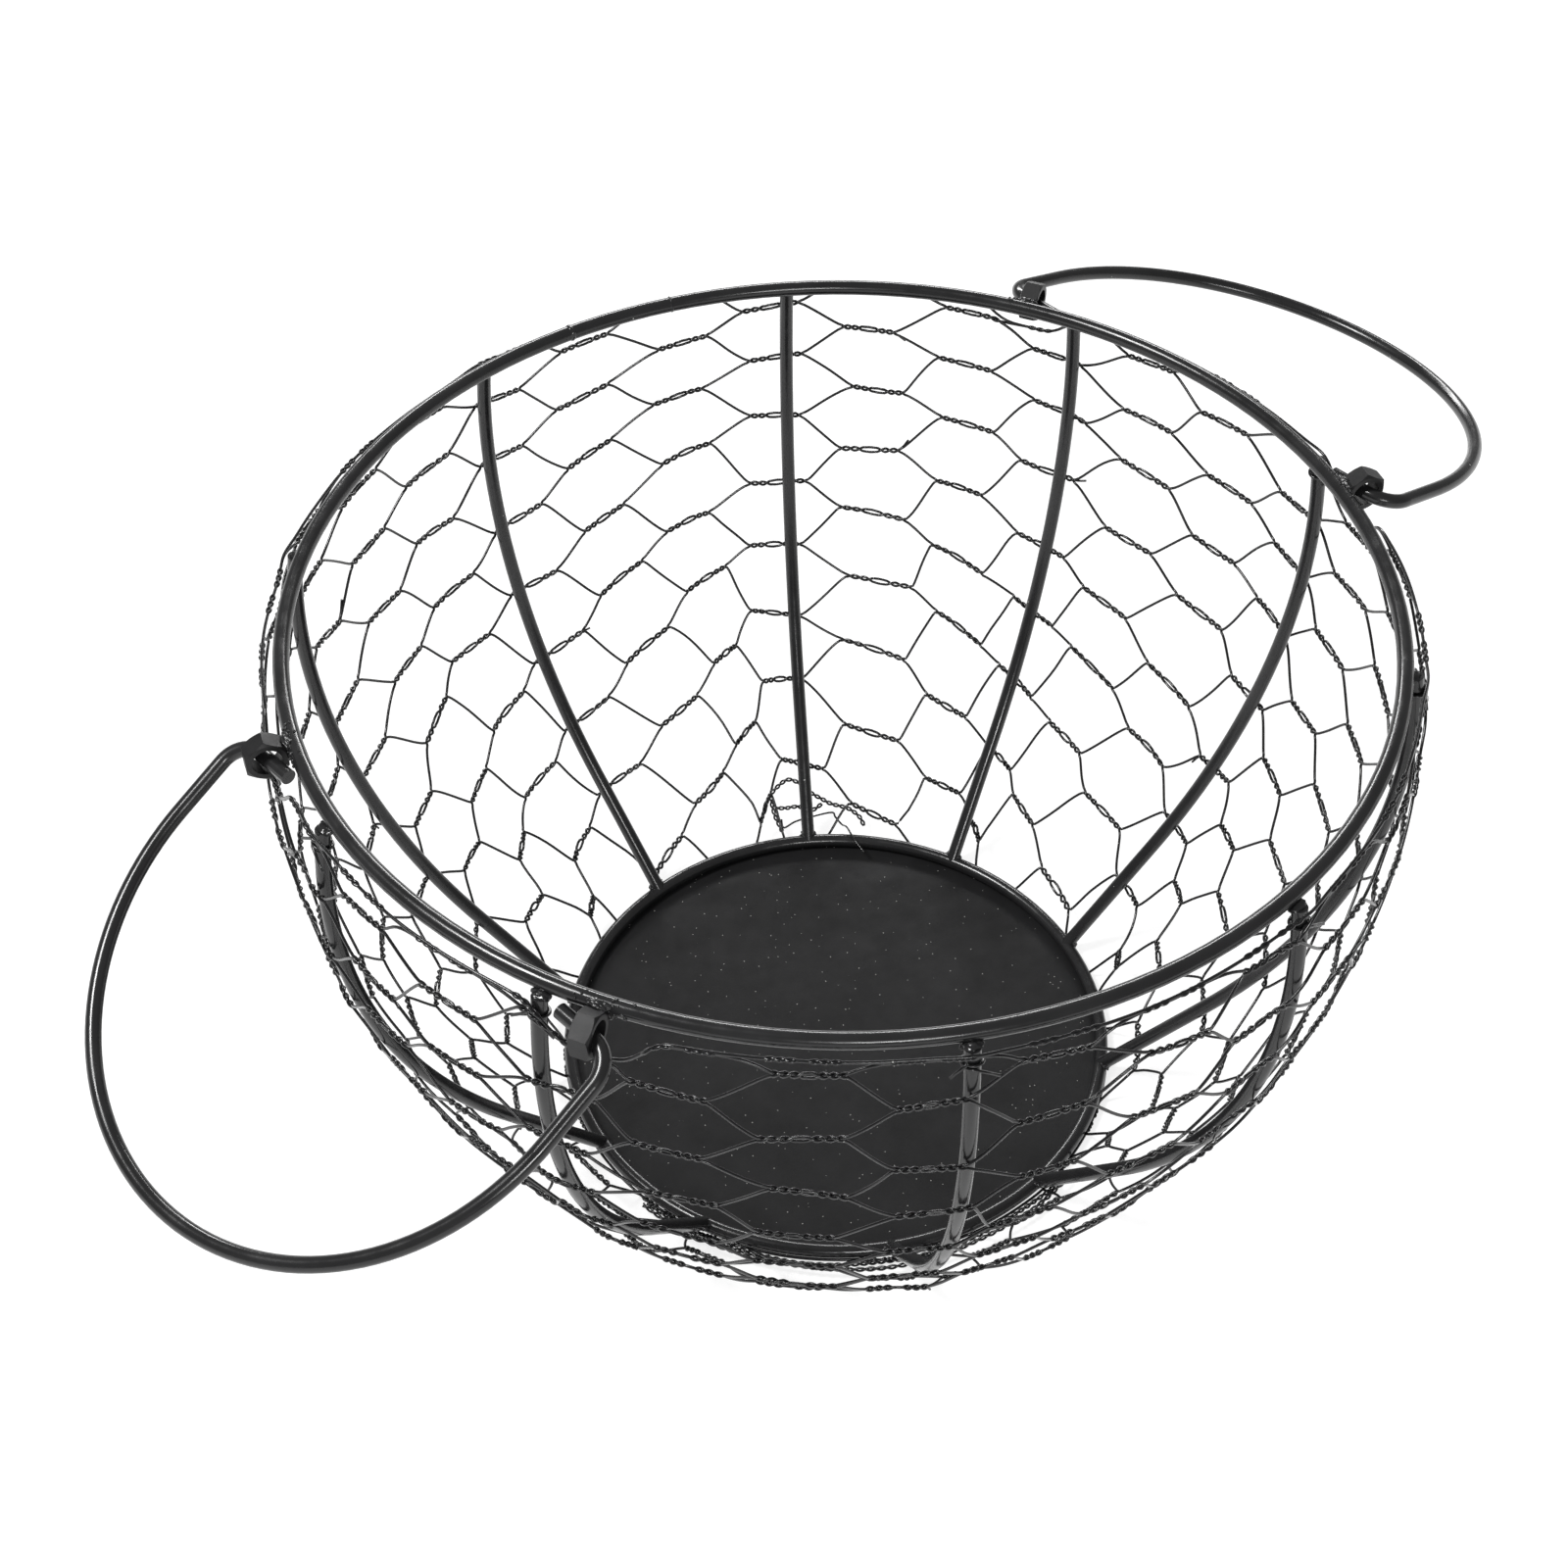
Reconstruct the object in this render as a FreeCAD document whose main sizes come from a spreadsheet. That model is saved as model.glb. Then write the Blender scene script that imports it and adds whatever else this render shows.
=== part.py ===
"""Egg collection basket: a welded round-rod bowl frame, wrapped in hexagonal wire netting, with two swinging
bail handles whose ends pivot in hexagon nuts welded to the outside of the rim.

Millimetres, +Z up. The origin is the centre of the bottom plate's underside, and +X points from the middle of
the basket to the right bail. Driving dimensions are in the spreadsheet "Sizes"; every sub-part is an object
whose sizes are bound to that sheet, and each one is written to parts/LABEL.step.
"""

import FreeCAD
import Part
import Sketcher
import math
import os

DIMENSIONS = {
    # rim and base rings, round rod bent into a hoop
    "rim_radius": 150.0,
    "rim_rod": 4.5,
    "rim_height": 181.0,
    "ring_radius": 83.7,
    "ring_rod": 4.2,
    # flat disc that the base ring is welded onto
    "plate_thickness": 1.0,
    "plate_overhang": 0.8,
    "plate_edge_round": 0.3,
    # ribs: one long bend, then straight down to the base ring
    "rib_rod": 4.2,
    "rib_bend_radius": 175.0,
    "rib_bulge_radius": 155.3,
    "rib_bulge_drop": 30.0,
    "rib_top_angle": 9.2,
    # hinge nuts: 1/4 in hexagon nuts with their threads drilled out, so the bail ends hang loose in them
    "hinge_reach": 144.5,
    "hinge_drop": 2.8,
    "nut_offset": 63.5,
    "nut_lift": 0.6,
    "nut_across_flats": 11.1,
    "nut_thickness": 5.5,
    "nut_bore": 8.0,
    "nut_face_flat": 10.6,
    "nut_chamfer_angle": 30.0,
    "weld_radius": 3.2,
    # bail handles, rod bent to a U with its ends turned inwards through the nuts
    "bail_rod": 4.2,
    "bail_half_width": 73.5,
    "bail_leg": 24.5,
    "bail_corner_radius": 8.0,
    "bail_tail_end": 53.5,
    "bail_droop_right": 16.7,
    "bail_droop_left": 28.3,
    # hexagonal netting, drawn tight over the outside of the ribs
    "netting_gap": 1.5,
    "netting_thickness": 0.6,
    "netting_top_drop": 10.8,
    "netting_foot_height": 3.0,
    "wire": 0.9,
    "wire_gap": 0.1,
    "selvedge_drop": 9.5,
    "tie_drop": 7.5,
    "foot_wire_radius": 88.6,
    "foot_wire_height": 2.3,
    "knot_length": 22.0,
    "knot_thickness": 3.2,
    "knot_azimuth": 55.0,
    "knot_height": 24.0,
    "knot_clearance": 0.3,
}

# Ribs are spaced by eye and welded one by one, so they stand a few degrees off an even 36.
RIB_AZIMUTHS = (52, 18, -18, -53, -88, -123, -162, 168, 127, 90)
# Numbers of the ribs whose necks the netting is tied to with a loop of wire.
TIED_RIBS = range(3, 9)

doc = FreeCAD.newDocument("egg_basket")
sheet = doc.addObject("Spreadsheet::Sheet", "Sizes")
nodes = []


def fill_sheet():
    """Write every driving dimension into the sheet, one aliased cell each."""
    rows = dict(DIMENSIONS)
    for number, azimuth in enumerate(RIB_AZIMUTHS, start=1):
        rows[f"rib_azimuth_{number:02d}"] = float(azimuth)
    for row, (alias, value) in enumerate(rows.items(), start=1):
        sheet.set(f"A{row}", alias.replace("_", " "))
        sheet.set(f"B{row}", str(value))
        sheet.setAlias(f"B{row}", alias)
    doc.recompute()


def size(alias):
    """A driving dimension as a number, for the few shapes that Part's own functions make."""
    return float(sheet.get(alias))


def add(kind, name, bindings=None, placement=None):
    """Add a document object, place it, and bind its properties to expressions."""
    thing = doc.addObject(kind, name)
    if placement is not None:
        thing.Placement = placement
    for prop, expression in (bindings or {}).items():
        thing.setExpression(prop, expression)
    return thing


def node(thing, label):
    """Name a finished sub-part; the label is also its file's name."""
    thing.Label = label
    nodes.append(thing)
    return thing


def turned(axis, degrees):
    """A placement at the origin that turns about an axis."""
    return FreeCAD.Placement(FreeCAD.Vector(), FreeCAD.Rotation(FreeCAD.Vector(*axis), degrees))


def turning(axis):
    """A placement whose angle an expression sets; it starts at one degree, so that its axis is kept."""
    return turned(axis, 1.0)


def copy_of(thing, name, bindings=None, placement=None):
    """Another instance of a shape, with its own placement."""
    instance = add("Part::Compound", name, bindings, placement)
    instance.Links = [thing]
    return instance


# Expressions for places that follow from the driving dimensions.
RING_HEIGHT = "(Sizes.plate_thickness + Sizes.ring_rod / 2)"
BEND_CENTRE_REACH = "(Sizes.rib_bulge_radius - Sizes.rib_bend_radius)"
BEND_CENTRE_HEIGHT = "(Sizes.rim_height - Sizes.rib_bulge_drop)"
RING_BEYOND = f"(Sizes.ring_radius - {BEND_CENTRE_REACH})"
RING_BELOW = f"({BEND_CENTRE_HEIGHT} - {RING_HEIGHT})"
BEND_TO_RING = f"sqrt({RING_BEYOND}^2 + {RING_BELOW}^2)"
TAIL_ANGLE = f"(acos(Sizes.rib_bend_radius / {BEND_TO_RING}) - atan2({RING_BELOW}; {RING_BEYOND}))"
TAIL_LENGTH = f"sqrt({RING_BEYOND}^2 + {RING_BELOW}^2 - Sizes.rib_bend_radius^2)"
HINGE_HEIGHT = "(Sizes.rim_height - Sizes.hinge_drop)"
NUT_TURN = "atan2(Sizes.nut_offset; Sizes.hinge_reach)"


def rib_line(offset):
    """The rib's centre line pushed out by offset: bend centre, radius, tail angle in radians."""
    reach = size("rib_bulge_radius") - size("rib_bend_radius")
    height = size("rim_height") - size("rib_bulge_drop")
    beyond = size("ring_radius") - reach
    below = height - size("plate_thickness") - size("ring_rod") / 2
    angle = math.acos(size("rib_bend_radius") / math.hypot(beyond, below)) - math.atan2(below, beyond)
    return reach, height, size("rib_bend_radius") + offset, angle


def make_rings():
    """The rim hoop and the smaller base hoop."""
    rim = add("Part::Torus", "RimRing", {
        "Radius1": "Sizes.rim_radius",
        "Radius2": "Sizes.rim_rod / 2",
        ".Placement.Base.z": "Sizes.rim_height",
    })
    base = add("Part::Torus", "BaseRing", {
        "Radius1": "Sizes.ring_radius",
        "Radius2": "Sizes.ring_rod / 2",
        ".Placement.Base.z": RING_HEIGHT,
    })
    node(rim, "rim_ring")
    node(base, "base_ring")
    return rim, base


def origin_plane(body, role):
    """One of a body's own origin planes."""
    return next(plane for plane in body.Origin.OriginFeatures if plane.Role == role)


def new_sketch(body, name, role):
    """A sketch on one of its body's origin planes."""
    sketch = body.newObject("Sketcher::SketchObject", name)
    sketch.AttachmentSupport = (origin_plane(body, role), "")
    sketch.MapMode = "FlatFace"
    return sketch


def circle_sketch(body, name, role, diameter):
    """A sketch of one circle about the origin, with its diameter bound to an expression."""
    sketch = new_sketch(body, name, role)
    circle = sketch.addGeometry(Part.Circle(FreeCAD.Vector(), FreeCAD.Vector(0, 0, 1), 1.0))
    sketch.addConstraint(Sketcher.Constraint("Coincident", circle, 3, -1, 1))
    index = sketch.addConstraint(Sketcher.Constraint("Diameter", circle, 2.0))
    sketch.renameConstraint(index, "diameter")
    sketch.setExpression("Constraints.diameter", diameter)
    return sketch


def make_plate():
    """The flat bottom disc, which carries the base ring on its upper face and reaches just past its line."""
    body = add("PartDesign::Body", "BottomPlate")
    across = "2 * (Sizes.ring_radius + Sizes.plate_overhang)"
    outline = circle_sketch(body, "PlateOutline", "XY_Plane", across)
    pad = body.newObject("PartDesign::Pad", "PlatePad")
    pad.Profile = outline
    pad.setExpression("Length", "Sizes.plate_thickness")
    doc.recompute()
    rounding = body.newObject("PartDesign::Fillet", "PlateEdge")
    rounding.Base = (pad, ["Edge1", "Edge3"])
    rounding.setExpression("Radius", "Sizes.plate_edge_round")
    body.Tip = rounding
    node(body, "bottom_plate")


def make_ribs(rim, base):
    """Ten ribs. Each is cut to the rim's underside at its head and to the base ring at its foot."""
    bend = add("Part::Torus", "RibBend", {
        "Radius1": "Sizes.rib_bend_radius",
        "Radius2": "Sizes.rib_rod / 2",
        "Angle3": f"Sizes.rib_top_angle * 1 deg - {TAIL_ANGLE}",
        ".Placement.Rotation.Angle": TAIL_ANGLE,
    }, turning((0, 0, 1)))
    upright = copy_of(bend, "RibBendUpright", {
        ".Placement.Base.x": BEND_CENTRE_REACH,
        ".Placement.Base.z": BEND_CENTRE_HEIGHT,
    }, turned((1, 0, 0), 90))
    tail = add("Part::Cylinder", "RibTail", {
        "Radius": "Sizes.rib_rod / 2",
        "Height": TAIL_LENGTH,
        ".Placement.Base.x": "Sizes.ring_radius",
        ".Placement.Base.z": RING_HEIGHT,
        ".Placement.Rotation.Angle": f"-1 * {TAIL_ANGLE}",
    }, turning((0, 1, 0)))
    blank = add("Part::Fuse", "RibBlank")
    blank.Base = upright
    blank.Tool = tail
    below_rim = add("Part::Cut", "RibBelowRim")
    below_rim.Base = blank
    below_rim.Tool = rim
    trimmed = add("Part::Cut", "RibTrimmed")
    trimmed.Base = below_rim
    trimmed.Tool = base
    for number in range(1, len(RIB_AZIMUTHS) + 1):
        rib = copy_of(trimmed, f"Rib{number:02d}", {
            ".Placement.Rotation.Angle": f"Sizes.rib_azimuth_{number:02d}",
        }, turning((0, 0, 1)))
        node(rib, f"rib_{number:02d}")


def make_nuts_and_welds(rim):
    """Four hexagon nuts, each with a flat against the rim, and the weld bead that joins each one to it."""
    # a hexagon's corner is 30 degrees round from the middle of its flat
    prism = add("Part::Prism", "NutPrism", {
        "Circumradius": "Sizes.nut_across_flats / (2 * cos(30))",
        "Height": "Sizes.nut_thickness",
    })
    # two cones back to back give the chamfer on the corners of both faces
    chamfer_reach = "Sizes.nut_face_flat / 2 + Sizes.nut_thickness / (2 * tan(Sizes.nut_chamfer_angle))"
    lower_cone = add("Part::Cone", "NutLowerCone", {
        "Radius1": "Sizes.nut_face_flat / 2",
        "Radius2": chamfer_reach,
        "Height": "Sizes.nut_thickness / 2",
    })
    upper_cone = add("Part::Cone", "NutUpperCone", {
        "Radius1": chamfer_reach,
        "Radius2": "Sizes.nut_face_flat / 2",
        "Height": "Sizes.nut_thickness / 2",
        ".Placement.Base.z": "Sizes.nut_thickness / 2",
    })
    cones = add("Part::Fuse", "NutCones")
    cones.Base = lower_cone
    cones.Tool = upper_cone
    blank = add("Part::Common", "NutBlank")
    blank.Base = prism
    blank.Tool = cones
    bore = add("Part::Cylinder", "NutBore", {"Radius": "Sizes.nut_bore / 2", "Height": "Sizes.nut_thickness"})
    nut = add("Part::Cut", "NutBored")
    nut.Base = blank
    nut.Tool = bore

    def on_its_side(shape, name):
        """A nut laid on its side: bore along Y, one corner uppermost, its middle at the origin."""
        corner_up = copy_of(shape, f"{name}CornerUp", placement=turned((0, 0, 1), 30))
        return copy_of(corner_up, f"{name}Lying", {".Placement.Base.y": "Sizes.nut_thickness / 2"},
                       turned((1, 0, 0), 90))

    def against_rim(shape, name, sign_x=1, sign_y=1):
        """A lying nut set with one flat against the rim, so its bore runs along the rim there."""
        return copy_of(shape, name, {
            ".Placement.Base.x": f"{sign_x} * Sizes.hinge_reach",
            ".Placement.Base.y": f"{sign_y} * Sizes.nut_offset",
            ".Placement.Base.z": f"{HINGE_HEIGHT} + Sizes.nut_lift",
            ".Placement.Rotation.Angle": f"{sign_x * sign_y} * {NUT_TURN}",
        }, turning((0, 0, 1)))

    lying = on_its_side(nut, "Nut")
    for side, sign_x in (("right", 1), ("left", -1)):
        for end, sign_y in (("rear", 1), ("front", -1)):
            placed = against_rim(lying, f"Nut{side.title()}{end.title()}", sign_x, sign_y)
            node(placed, f"hinge_nut_{side}_{end}")

    bead = add("Part::Sphere", "WeldBead", {
        "Radius": "Sizes.weld_radius",
        ".Placement.Base.x": f"(Sizes.rim_radius + Sizes.rim_rod / 2) * cos({NUT_TURN})",
        ".Placement.Base.y": f"(Sizes.rim_radius + Sizes.rim_rod / 2) * sin({NUT_TURN})",
        ".Placement.Base.z": "Sizes.rim_height",
    })
    outside_rim = add("Part::Cut", "WeldOutsideRim")
    outside_rim.Base = bead
    outside_rim.Tool = rim
    solid_nut = against_rim(on_its_side(blank, "SolidNut"), "SolidNutInPlace")
    weld = add("Part::Cut", "WeldRightRear")
    weld.Base = outside_rim
    weld.Tool = solid_nut
    mirrored = add("Part::Mirroring", "WeldRightFront")
    mirrored.Source = weld
    mirrored.Normal = FreeCAD.Vector(0, 1, 0)
    right_pair = add("Part::Compound", "WeldsRight")
    right_pair.Links = [weld, mirrored]
    left_pair = copy_of(right_pair, "WeldsLeft", placement=turned((0, 0, 1), 180))
    welds = add("Part::Compound", "HingeNutWelds")
    welds.Links = [right_pair, left_pair]
    node(welds, "hinge_nut_welds")


def bail_path(body):
    """Centre line of a bail in its own plane: tail, corner, leg, half circle, leg, corner, tail."""
    path = new_sketch(body, "BailPath", "XY_Plane")
    half, leg, corner, tail = (size("bail_half_width"), size("bail_leg"), size("bail_corner_radius"),
                               size("bail_tail_end"))
    normal = FreeCAD.Vector(0, 0, 1)
    quarter = math.pi / 2

    def point(across, along):
        return FreeCAD.Vector(across, along, 0)

    low_tail = path.addGeometry(Part.LineSegment(point(0, -tail), point(0, corner - half)))
    low_corner = path.addGeometry(Part.ArcOfCircle(
        Part.Circle(point(corner, corner - half), normal, corner), math.pi, 3 * quarter))
    low_leg = path.addGeometry(Part.LineSegment(point(corner, -half), point(leg, -half)))
    grip = path.addGeometry(Part.ArcOfCircle(Part.Circle(point(leg, 0), normal, half), -quarter, quarter))
    high_leg = path.addGeometry(Part.LineSegment(point(leg, half), point(corner, half)))
    high_corner = path.addGeometry(Part.ArcOfCircle(
        Part.Circle(point(corner, half - corner), normal, corner), quarter, math.pi))
    high_tail = path.addGeometry(Part.LineSegment(point(0, half - corner), point(0, tail)))
    start, end, centre = 1, 2, 3
    rules = [
        ("Tangent", low_tail, end, low_corner, start),
        ("Tangent", low_corner, end, low_leg, start),
        ("Tangent", low_leg, end, grip, start),
        ("Tangent", grip, end, high_leg, start),
        ("Tangent", high_leg, end, high_corner, start),
        ("Tangent", high_corner, end, high_tail, start),
        ("Equal", low_corner, high_corner),
        ("Vertical", low_tail),
        ("Horizontal", low_leg),
        ("PointOnObject", low_tail, start, -2),
        ("PointOnObject", grip, centre, -1),
        ("Symmetric", low_tail, start, high_tail, end, -1),
    ]
    for rule in rules:
        path.addConstraint(Sketcher.Constraint(*rule))
    sized = {
        "half_width": (Sketcher.Constraint("Radius", grip, half), "Sizes.bail_half_width"),
        "corner": (Sketcher.Constraint("Radius", low_corner, corner), "Sizes.bail_corner_radius"),
        "leg": (Sketcher.Constraint("DistanceX", -1, 1, grip, centre, leg), "Sizes.bail_leg"),
        "tails": (Sketcher.Constraint("DistanceY", low_tail, start, high_tail, end, 2 * tail),
                  "2 * Sizes.bail_tail_end"),
    }
    for name, (constraint, expression) in sized.items():
        index = path.addConstraint(constraint)
        path.renameConstraint(index, name)
        path.setExpression(f"Constraints.{name}", expression)
    return path


def make_bails():
    """Two equal bails, each turned about its nuts' common axis to where it rests."""
    body = add("PartDesign::Body", "BailBlank")
    path = bail_path(body)
    section = circle_sketch(body, "BailSection", "XZ_Plane", "Sizes.bail_rod")
    section.setExpression(".AttachmentOffset.Base.z", "Sizes.bail_tail_end")
    doc.recompute()
    rod = body.newObject("PartDesign::AdditivePipe", "BailRod")
    rod.Profile = section
    rod.Spine = path
    body.Tip = rod
    sides = (("Right", "Sizes.bail_droop_right", 0), ("Left", "Sizes.bail_droop_left", 180))
    for side, droop, facing in sides:
        drooped = copy_of(body, f"Bail{side}Drooped", {
            ".Placement.Base.x": "Sizes.hinge_reach",
            ".Placement.Base.z": HINGE_HEIGHT,
            ".Placement.Rotation.Angle": droop,
        }, turning((0, 1, 0)))
        bail = copy_of(drooped, f"Bail{side}", placement=turned((0, 0, 1), facing))
        node(bail, f"bail_{side.lower()}")


def make_netting():
    """The netting as one thin closed skin, with the netting's own outer shape and its open top and bottom."""
    reach, height, inner, angle = rib_line(size("rib_rod") / 2 + size("netting_gap"))
    outer = inner + size("netting_thickness")
    top_angle = math.asin((size("rim_height") - size("netting_top_drop") - height) / inner)

    def on_bend(radius, at):
        return FreeCAD.Vector(reach + radius * math.cos(at), 0, height + radius * math.sin(at))

    def on_tail(radius):
        """Where the straight lower stretch, carried on from the bend, comes down to the foot's height."""
        start = on_bend(radius, angle)
        run = (start.z - size("netting_foot_height")) / math.cos(angle)
        return start + FreeCAD.Vector(run * math.sin(angle), 0, -run * math.cos(angle))

    def bend(radius):
        middle = on_bend(radius, (angle + top_angle) / 2)
        return Part.Arc(on_bend(radius, angle), middle, on_bend(radius, top_angle)).toShape()

    edges = [
        Part.LineSegment(on_tail(inner), on_bend(inner, angle)).toShape(),
        bend(inner),
        Part.LineSegment(on_bend(inner, top_angle), on_bend(outer, top_angle)).toShape(),
        bend(outer),
        Part.LineSegment(on_bend(outer, angle), on_tail(outer)).toShape(),
        Part.LineSegment(on_tail(outer), on_tail(inner)).toShape(),
    ]
    band = Part.Face(Part.Wire(Part.__sortEdges__(edges)))
    skin = add("Part::Feature", "Netting")
    skin.Shape = band.revolve(FreeCAD.Vector(), FreeCAD.Vector(0, 0, 1), 360)
    node(skin, "netting")


def wire_hoop(name, label, radius, height):
    """A hoop of netting wire."""
    hoop = add("Part::Torus", name, {
        "Radius1": radius,
        "Radius2": "Sizes.wire / 2",
        ".Placement.Base.z": height,
    })
    node(hoop, label)


def make_netting_wires():
    """The netting's edge wires, the loops that tie it to the rib heads, and the knot of its twisted ends."""
    def rib_reach(drop):
        along = f"sqrt(Sizes.rib_bend_radius^2 - (Sizes.rib_bulge_drop - {drop})^2)"
        return f"({BEND_CENTRE_REACH} + {along})"

    wire_hoop("TopSelvedge", "netting_top_selvedge",
              f"{rib_reach('Sizes.selvedge_drop')} + Sizes.rib_rod / 2 + Sizes.wire / 2 + Sizes.wire_gap",
              "Sizes.rim_height - Sizes.selvedge_drop")
    wire_hoop("FootWire", "netting_foot_wire", "Sizes.foot_wire_radius", "Sizes.foot_wire_height")

    loop = add("Part::Torus", "TieLoop", {
        "Radius1": "Sizes.rib_rod / 2 + Sizes.wire / 2 + Sizes.wire_gap",
        "Radius2": "Sizes.wire / 2",
        ".Placement.Base.x": rib_reach("Sizes.tie_drop"),
        ".Placement.Base.z": "Sizes.rim_height - Sizes.tie_drop",
        ".Placement.Rotation.Angle":
            "-1 * asin((Sizes.rib_bulge_drop - Sizes.tie_drop) / Sizes.rib_bend_radius)",
    }, turning((0, 1, 0)))
    loops = []
    for number in TIED_RIBS:
        loops.append(copy_of(loop, f"TieLoop{number:02d}", {
            ".Placement.Rotation.Angle": f"Sizes.rib_azimuth_{number:02d}",
        }, turning((0, 0, 1))))
    ties = add("Part::Compound", "RibTies")
    ties.Links = loops
    node(ties, "rib_neck_ties")

    tail_reach = f"(Sizes.ring_radius + (Sizes.knot_height - {RING_HEIGHT}) * tan(-1 * {TAIL_ANGLE}))"
    clear = ("(Sizes.rib_rod / 2 + Sizes.netting_gap + Sizes.netting_thickness + Sizes.knot_clearance"
             " + Sizes.knot_thickness / 2)")
    knot = add("Part::Ellipsoid", "Knot", {
        "Radius1": "Sizes.knot_length / 2",
        "Radius2": "Sizes.knot_thickness / 2",
        "Radius3": "Sizes.knot_thickness / 2",
        ".Placement.Base.x": f"{tail_reach} + {clear} / cos({TAIL_ANGLE})",
        ".Placement.Base.z": "Sizes.knot_height",
        ".Placement.Rotation.Angle": f"-1 * {TAIL_ANGLE}",
    }, turning((0, 1, 0)))
    around = copy_of(knot, "EndKnot", {".Placement.Rotation.Angle": "Sizes.knot_azimuth"}, turning((0, 0, 1)))
    node(around, "netting_end_knot")


def check_and_export():
    """Refuse failed objects and bad shapes, then write each sub-part's STEP file."""
    doc.recompute()
    for thing in doc.Objects:
        if "Invalid" in thing.State or "Error" in thing.State:
            raise RuntimeError(f"{thing.Label}: {thing.State}")
    os.makedirs("parts", exist_ok=True)
    for thing in nodes:
        shape = thing.Shape
        if shape.isNull() or not shape.isValid() or not shape.Solids:
            raise RuntimeError(f"{thing.Label}: bad shape")
        shape.exportStep(f"parts/{thing.Label}.step")
        print(f"{thing.Label:24s} {len(shape.Solids):3d} solids {shape.Volume / 1000:8.3f} cm3")


def main():
    fill_sheet()
    rim, base = make_rings()
    make_plate()
    make_ribs(rim, base)
    make_nuts_and_welds(rim)
    make_bails()
    make_netting()
    make_netting_wires()
    check_and_export()


main()
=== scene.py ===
"""Looks of the egg collection basket: detailed netting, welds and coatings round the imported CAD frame.

Metres, in the CAD's own frame: +Z up, origin under the middle of the bottom plate, +X to the right bail.
A place on the basket is given by its azimuth, in degrees round from +X, and either its reach and height or
its run, which is the distance down the netting from just above the ribs' heads.
"""

import bmesh
import bpy
import math
import random
from mathutils import Matrix, Vector, noise


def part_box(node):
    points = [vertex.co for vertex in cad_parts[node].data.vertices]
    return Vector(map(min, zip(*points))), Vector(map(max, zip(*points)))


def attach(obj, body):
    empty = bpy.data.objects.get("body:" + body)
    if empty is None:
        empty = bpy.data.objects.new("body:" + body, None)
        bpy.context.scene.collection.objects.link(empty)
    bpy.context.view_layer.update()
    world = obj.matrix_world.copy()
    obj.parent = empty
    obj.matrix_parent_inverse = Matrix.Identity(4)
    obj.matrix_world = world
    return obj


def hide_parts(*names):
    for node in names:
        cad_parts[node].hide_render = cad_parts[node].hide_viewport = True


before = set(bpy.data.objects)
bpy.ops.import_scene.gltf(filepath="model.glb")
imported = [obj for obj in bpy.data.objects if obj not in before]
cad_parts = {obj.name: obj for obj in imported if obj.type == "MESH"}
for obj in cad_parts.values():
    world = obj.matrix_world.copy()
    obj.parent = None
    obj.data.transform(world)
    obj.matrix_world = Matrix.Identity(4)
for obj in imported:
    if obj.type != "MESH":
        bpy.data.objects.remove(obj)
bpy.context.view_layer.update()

# Without a seed of its own, mathutils takes one for its vector noise from the clock.
noise.seed_set(7)

MM = 0.001


def hoop_sizes(node):
    """(radius, height, rod radius) of a level hoop, from its CAD node."""
    low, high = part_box(node)
    rod = (high.z - low.z) / 2
    return high.x - rod, (low.z + high.z) / 2, rod


RIM_RADIUS, RIM_HEIGHT, RIM_ROD = hoop_sizes("rim_ring")
RING_RADIUS, RING_HEIGHT, _ = hoop_sizes("base_ring")
nut_low, nut_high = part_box("hinge_nut_right_rear")
NUT_AZIMUTH = math.degrees(math.atan2(nut_low.y + nut_high.y, nut_low.x + nut_high.x))

# The ribs' centre line, as in the CAD: a long bend whose centre lies inside the basket, then straight down to
# the base ring. The bend's angles are measured up from level.
RIB_RADIUS = 2.1 * MM
RIB_BEND = 175 * MM
BEND_REACH = 155.3 * MM - RIB_BEND
BEND_HEIGHT = 151 * MM
BEND_TOP = math.radians(10)
BEND_END = math.radians(-40.5)
RIB_AZIMUTHS = (52, 18, -18, -53, -88, -123, -162, 168, 127, 90)
TIED_RIBS = RIB_AZIMUTHS[2:8]
KNOT_RIB = RIB_AZIMUTHS[0]

# Netting wire, and the steps that its lines are made of.
WIRE = 0.44 * MM
WIRE_SIDES = 7
TWIST_STEPS = 44
SPAN_STEPS = 9
EDGE_STEPS = 24

# The even netting: twists stand in rows, on every other column, and each row is half a cell on from the last.
COLUMNS = 32
COLUMN_PITCH = 360 / COLUMNS
FIRST_COLUMN = 42.4
FIRST_ROW = -1
LAST_ROW = 16
TWIST_LENGTH = 18 * MM
TWIST_SHARE = 0.66

# The netting's place on the ribs.
RUN_LINE = RIB_BEND + 2.7 * MM
TOP_RUN = 2.5 * MM
NET_DEPTH = 190 * MM
FOOT_RUN = 201 * MM
NUT_DIP = 9.6 * MM
NUT_DIP_WIDTH = 5.0
EDGE_EASE = 4 * MM
CLEARANCE = 0.12 * MM
SLACK = 1.6 * MM
ASKEW = 8 * MM
HIGH_SIDE = -138

# Low at the front the netting bellies out, and everywhere else its foot is tucked in under the base ring.
FRONT = -128
BELLY = 3.4 * MM
BELLY_TOP = 110 * MM
BELLY_DEPTH = 95 * MM
TUCK_RUN = 186 * MM
TUCK_REACH = 85.5 * MM
TUCK_HEIGHT = 0.5 * MM


# ---------------------------------------------------------------- places on the basket

def signed(angle):
    """The same direction as an angle between -180 and 180 degrees."""
    return (angle + 180) % 360 - 180


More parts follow.
